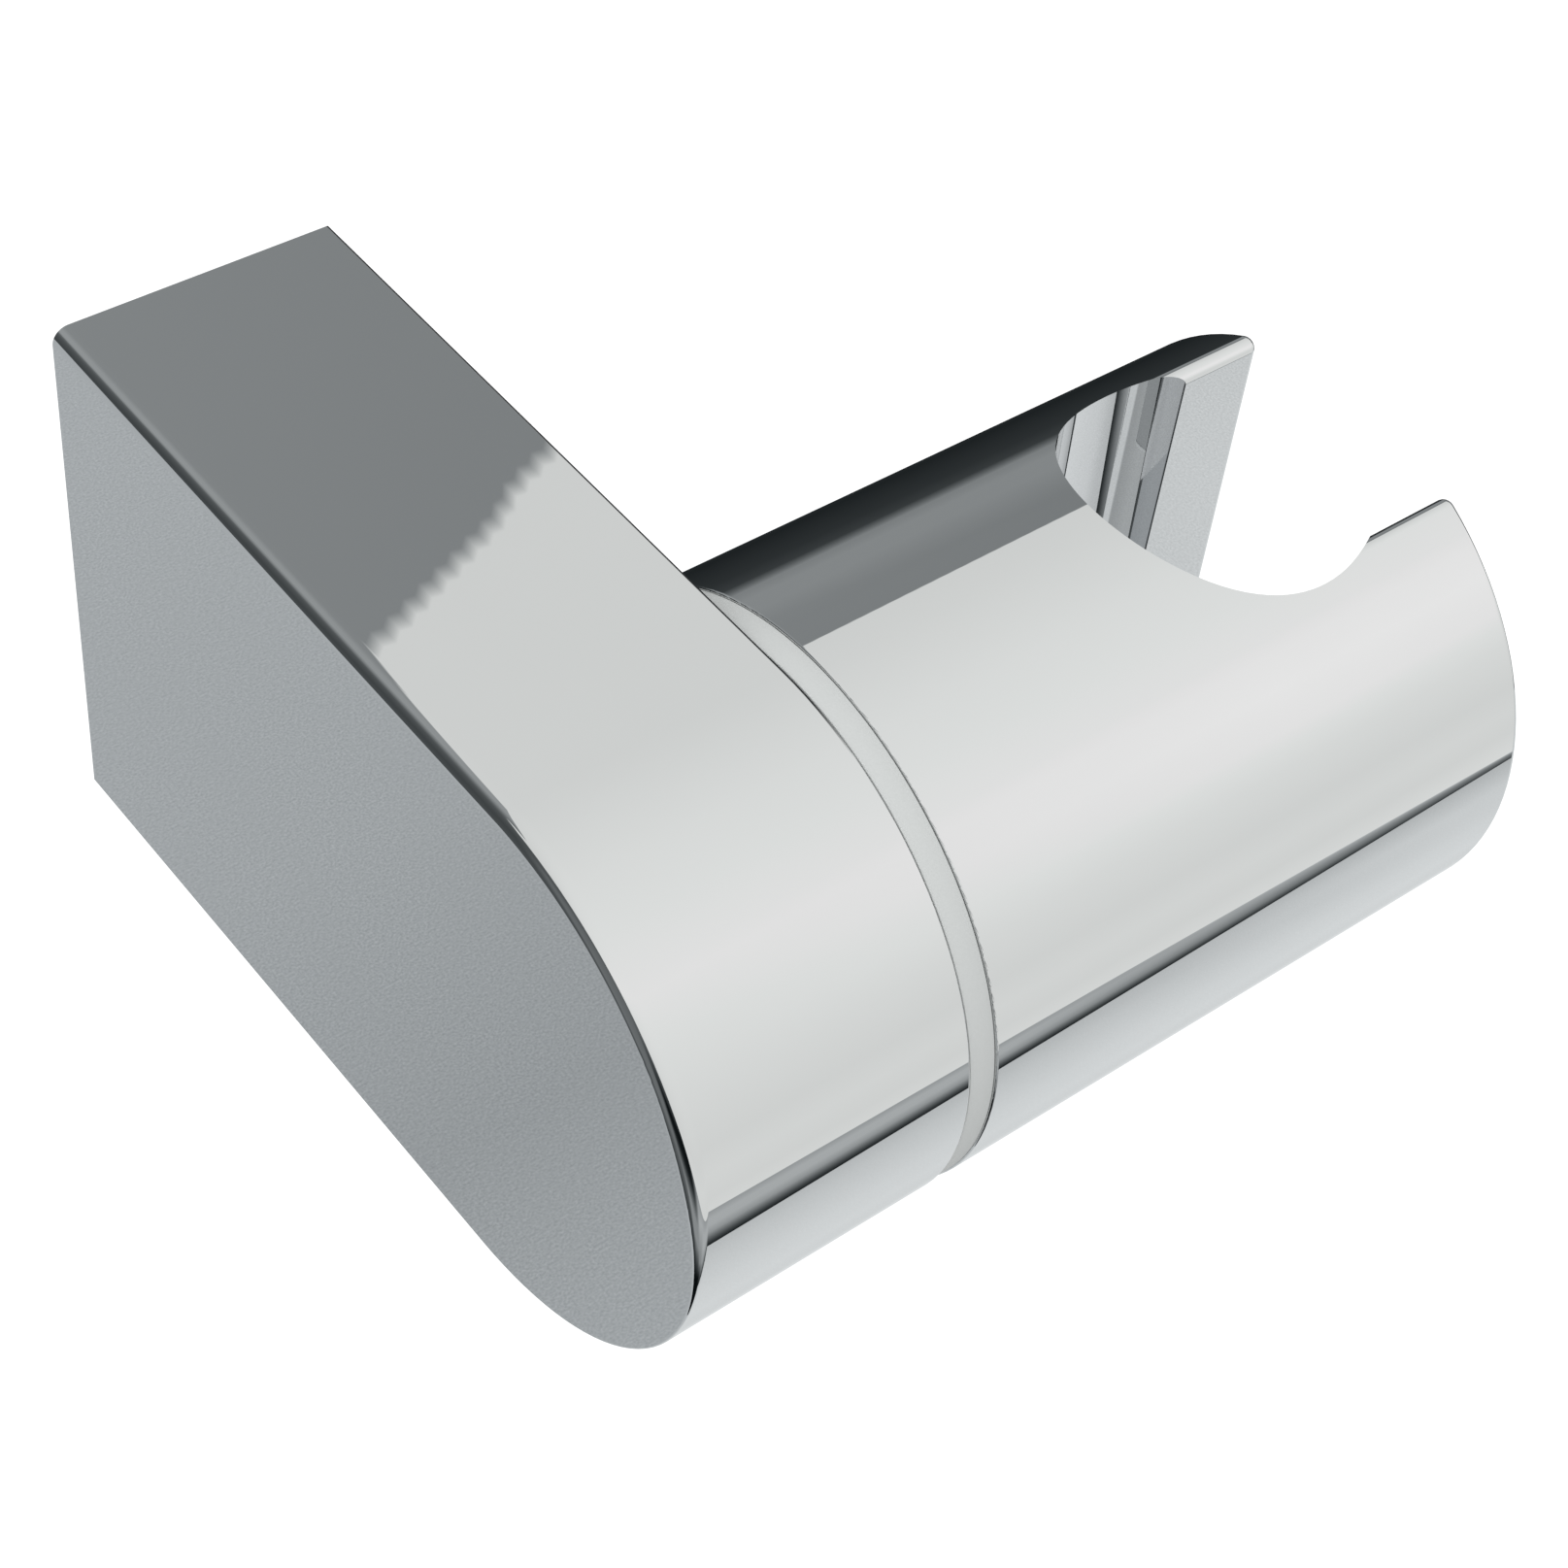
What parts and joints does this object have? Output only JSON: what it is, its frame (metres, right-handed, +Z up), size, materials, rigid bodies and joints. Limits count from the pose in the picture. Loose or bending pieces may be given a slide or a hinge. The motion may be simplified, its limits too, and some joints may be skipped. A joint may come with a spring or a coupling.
{
  "type": "hand shower holder",
  "caption": "Wall bracket for a hand shower: a round-fronted base and, beside it, a round cradle with a tapered seat and a side slot, turning about a horizontal pivot.",
  "frame": {"origin": "middle of the base where it meets the wall", "axes": "+Y into the wall, +X along the pivot from the base to the cradle, +Z up"},
  "size_m": [0.0689, 0.0703, 0.042],
  "materials": {
    "chrome": "polished chrome plate",
    "ring_plastic": "fine matt",
    "plate_steel": "zinc plated sheet",
    "machined_steel": "turned and oiled",
    "spring_steel": "blued",
    "cast_zinc": "as cast, faces turned",
    "brass": "turned",
    "acetal": "smooth, waxy",
    "nylon": "moulded",
    "pad_foam": "closed cell foam",
    "seal_rubber": "smooth"
  },
  "bodies": {
    "base": {"base_housing": "chrome", "wall_plate": "plate_steel", "wall_pad": "pad_foam", "screw_bushes": "nylon", "clinch_nut": "brass", "lock_screw": "machined_steel", "pivot_bush": "acetal", "inner_friction_disc": "acetal", "friction_ring": "ring_plastic"},
    "cradle": {"cradle_body": "chrome", "cradle_hub": "cast_zinc", "hub_screws": "machined_steel", "pivot_shaft": "machined_steel", "pivot_seal": "seal_rubber", "thrust_washer": "machined_steel", "disc_spring_inner": "spring_steel", "disc_spring_outer": "spring_steel", "flat_washer": "machined_steel", "lock_nut": "machined_steel", "nut_ring": "nylon"}
  },
  "joints": [
    {"name": "cradle_turn", "type": "hinge", "parent": "base", "child": "cradle", "pos_m": [0.0124, -0.0493, 0], "axis": [1, 0, 0], "continuous": true}
  ]
}
